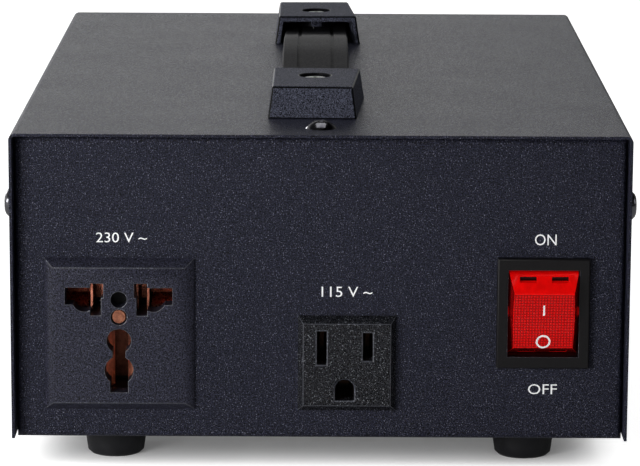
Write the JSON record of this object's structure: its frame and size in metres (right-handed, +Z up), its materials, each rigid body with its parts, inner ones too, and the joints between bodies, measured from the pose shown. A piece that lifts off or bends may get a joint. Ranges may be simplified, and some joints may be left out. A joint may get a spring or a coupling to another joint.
{
  "type": "travel voltage converter",
  "caption": "Desktop voltage converter in a folded black steel case, with a universal socket, a US socket, a red rocker switch, a strap handle and rubber feet.",
  "frame": {"origin": "middle of the bounding box on the surface that the feet stand on", "axes": "+X to the right seen from the front, +Y from the front panel to the rear panel, +Z up"},
  "size_m": [0.1746, 0.259, 0.1042],
  "materials": {
    "case_paint": "fine-textured powder coat",
    "black_steel": "blackened steel, satin",
    "zinc_steel": "zinc-plated",
    "foot_rubber": "matte",
    "black_plastic": "satin, moulded",
    "bezel_plastic": "satin",
    "cap_plastic": "fine texture",
    "strap_vinyl": "matte vinyl",
    "contact_copper": "bright copper alloy",
    "silver_contact": "silver-plated",
    "rocker_red": "translucent, textured",
    "lamp_glass": "clear glass",
    "core_steel": "wound strip",
    "winding_copper": "enamelled wire",
    "wrap_tape": "polyester tape",
    "pad_rubber": "matte",
    "grey_plastic": "moulded",
    "button_plastic": "white, gloss",
    "wire_brown": "PVC",
    "wire_blue": "PVC",
    "wire_earth": "PVC, green with a yellow stripe",
    "wire_black": "PVC",
    "sleeve_plastic": "PVC"
  },
  "bodies": {
    "case": {"breaker_body": "grey_plastic", "breaker_ring_nut": "zinc_steel", "breaker_tabs": "silver_contact", "chassis": "case_paint", "cover": "case_paint", "cover_side_screws": "black_steel", "cover_top_screws": "black_steel", "earth_lugs": "zinc_steel", "earth_nut": "zinc_steel", "earth_stud": "zinc_steel", "earth_wires": "wire_earth", "feet": "foot_rubber", "foot_nuts": "zinc_steel", "foot_screws": "zinc_steel", "handle_bushes": "zinc_steel", "handle_cap_front": "cap_plastic", "handle_cap_rear": "cap_plastic", "handle_nuts": "zinc_steel", "handle_screws": "black_steel", "inlet_body": "grey_plastic", "inlet_pins": "silver_contact", "line_wires": "wire_brown", "neutral_wires": "wire_blue", "rear_nuts": "zinc_steel", "rear_screws": "black_steel", "selector_body": "grey_plastic", "selector_tabs": "silver_contact", "switch_common_terminals": "silver_contact", "switch_feed_terminals": "silver_contact", "switch_housing": "bezel_plastic", "switch_lamp": "lamp_glass", "toroid_bolt": "zinc_steel", "toroid_core": "core_steel", "toroid_nut": "zinc_steel", "toroid_pads": "pad_rubber", "toroid_washer": "zinc_steel", "toroid_winding": "winding_copper", "toroid_wrap": "wrap_tape", "universal_earth_contact": "contact_copper", "universal_live_contacts": "contact_copper", "universal_socket_back": "black_plastic", "universal_socket_body": "black_plastic", "universal_socket_face": "black_plastic", "universal_socket_rivet": "contact_copper", "us_earth_contact": "contact_copper", "us_live_contacts": "contact_copper", "us_socket_back": "black_plastic", "us_socket_body": "black_plastic", "winding_leads": "wire_black", "wire_sleeves": "sleeve_plastic"},
    "rocker": {"rocker": "rocker_red", "rocker_plungers": "zinc_steel"},
    "contact_levers": {"contact_levers": "silver_contact"},
    "breaker_button": {"breaker_button": "button_plastic"},
    "selector_slider": {"selector_slider": "rocker_red"},
    "strap_front_end": {"strap_front_end": "strap_vinyl"},
    "strap_front_run": {"strap_front_run": "strap_vinyl"},
    "strap_middle": {"strap_middle": "strap_vinyl"},
    "strap_rear_run": {"strap_rear_run": "strap_vinyl"},
    "strap_rear_end": {"strap_rear_end": "strap_vinyl"}
  },
  "joints": [
    {"name": "rocker_tilt", "type": "hinge", "parent": "case", "child": "rocker", "pos_m": [0.06151, -0.12247, 0.0452], "axis": [-1, 0, 0], "range_deg": [0, 22]},
    {"name": "contact_lever_tilt", "type": "hinge", "parent": "case", "child": "contact_levers", "pos_m": [0.06151, -0.11287, 0.0452], "axis": [1, 0, 0], "range_deg": [0, 12.01]},
    {"name": "breaker_reset", "type": "slide", "parent": "case", "child": "breaker_button", "axis": [0, -1, 0], "range_m": [0, 0.003], "stiffness_N_per_m": 300, "springref_m": -0.002},
    {"name": "selector_slide", "type": "slide", "parent": "case", "child": "selector_slider", "axis": [1, 0, 0], "range_m": [0, 0.0045]},
    {"name": "strap_front_slip", "type": "slide", "parent": "case", "child": "strap_front_end", "axis": [0, 1, 0], "range_m": [0, 0.00529]},
    {"name": "strap_lift", "type": "hinge", "parent": "strap_front_end", "child": "strap_front_run", "pos_m": [-0.0017, -0.06007, 0.0979], "axis": [1, 0, 0], "range_deg": [0, 24]},
    {"name": "strap_front_bend", "type": "hinge", "parent": "strap_front_run", "child": "strap_middle", "pos_m": [-0.0017, -0.02033, 0.10243], "axis": [1, 0, 0], "range_deg": [-24, 0]},
    {"name": "strap_rear_bend", "type": "hinge", "parent": "strap_middle", "child": "strap_rear_run", "pos_m": [-0.0017, 0.00419, 0.10243], "axis": [1, 0, 0], "range_deg": [-24, 0]},
    {"name": "strap_rear_bow", "type": "hinge", "parent": "strap_rear_run", "child": "strap_rear_end", "pos_m": [-0.0017, 0.04393, 0.0979], "axis": [1, 0, 0], "range_deg": [0, 24]}
  ],
  "couplings": [
    {"joint": "contact_lever_tilt", "follows": "rocker_tilt", "ratio": 0.54546},
    {"joint": "strap_front_slip", "follows": "strap_lift", "m_per_rad": 0.0126},
    {"joint": "strap_front_bend", "follows": "strap_lift", "ratio": -1},
    {"joint": "strap_rear_bend", "follows": "strap_lift", "ratio": -1},
    {"joint": "strap_rear_bow", "follows": "strap_lift", "ratio": 1}
  ]
}
